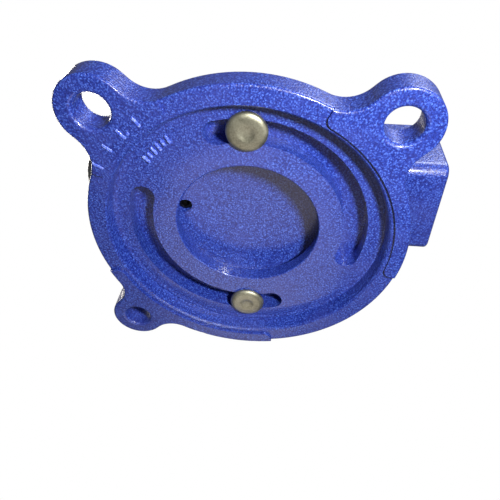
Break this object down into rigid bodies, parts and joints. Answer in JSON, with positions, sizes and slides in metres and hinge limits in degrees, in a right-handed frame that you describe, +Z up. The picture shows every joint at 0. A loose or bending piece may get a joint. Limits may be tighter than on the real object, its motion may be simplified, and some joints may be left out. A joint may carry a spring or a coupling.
{
  "type": "bench vise",
  "caption": "Swivel-base bench vise: ring base with bench lugs and curved slots, sliding jaw on a box bar, screw with sliding handle, swivel locks and rear anvil.",
  "frame": {"origin": "where the swivel axis meets the bench surface that the three foot pads rest on", "axes": "+Z up along the swivel axis, +Y towards the tail and anvil, -Y towards the moving jaw and the screw's handle"},
  "size_m": [0.2119, 0.198, 0.103],
  "materials": {
    "cast_paint": "blue hammered enamel over grey iron castings",
    "hard_steel": "hardened and ground, knurled gripping face",
    "black_screw": "black oxide with oil",
    "raw_iron": "as cast, machined bore",
    "zinc_yellow": "dull yellow zinc plating",
    "zinc_clear": "clear zinc plating",
    "chrome_bar": "bright nickel and chrome plating",
    "turned_steel": "turned, lightly oiled"
  },
  "bodies": {
    "base": {"swivel_base": "cast_paint"},
    "vise_body": {"fixed_body": "cast_paint", "fixed_jaw_plate": "hard_steel", "fixed_jaw_screws": "black_screw", "main_nut": "raw_iron", "nut_screw": "black_screw", "lock_bolt_right": "zinc_yellow", "lock_bolt_left": "zinc_yellow", "lock_washers": "zinc_clear"},
    "lock_nut_r": {"lock_nut_right": "zinc_clear"},
    "lock_lever_r": {"lock_lever_right": "chrome_bar"},
    "lock_nut_l": {"lock_nut_left": "zinc_clear"},
    "lock_lever_l": {"lock_lever_left": "chrome_bar"},
    "slide": {"moving_jaw": "cast_paint", "moving_jaw_plate": "hard_steel", "moving_jaw_screws": "black_screw", "thrust_washer": "zinc_clear"},
    "screw": {"spindle": "turned_steel", "cotter_pin": "zinc_clear"},
    "handle": {"handle_bar": "chrome_bar", "handle_knob_upper": "chrome_bar", "handle_knob_lower": "chrome_bar"}
  },
  "joints": [
    {"name": "swivel", "type": "hinge", "parent": "base", "child": "vise_body", "pos_m": [0, 0, 0.02], "axis": [0, 0, 1], "range_deg": [-14, 106]},
    {"name": "jaw_slide", "type": "slide", "parent": "vise_body", "child": "slide", "axis": [0, -1, 0], "range_m": [0, 0.075]},
    {"name": "screw_turn", "type": "hinge", "parent": "slide", "child": "screw", "pos_m": [0, -0.07, 0.056], "axis": [0, -1, 0], "range_deg": [0, 6750.1]},
    {"name": "handle_slide", "type": "slide", "parent": "screw", "child": "handle", "axis": [0.9848, 0, -0.1736], "range_m": [0, 0.103]},
    {"name": "lock_turn_right", "type": "hinge", "parent": "vise_body", "child": "lock_nut_r", "pos_m": [0.0552, 0, 0.038], "axis": [0, 0, 1], "range_deg": [-30, 30]},
    {"name": "lock_bar_right", "type": "slide", "parent": "lock_nut_r", "child": "lock_lever_r", "axis": [0, 1, 0], "range_m": [0, 0.018]},
    {"name": "lock_turn_left", "type": "hinge", "parent": "vise_body", "child": "lock_nut_l", "pos_m": [-0.0552, 0, 0.038], "axis": [0, 0, 1], "range_deg": [-30, 30]},
    {"name": "lock_bar_left", "type": "slide", "parent": "lock_nut_l", "child": "lock_lever_l", "axis": [0, 1, 0], "range_m": [0, 0.018]}
  ],
  "couplings": [
    {"joint": "screw_turn", "follows": "jaw_slide", "rad_per_m": 1570.8}
  ]
}
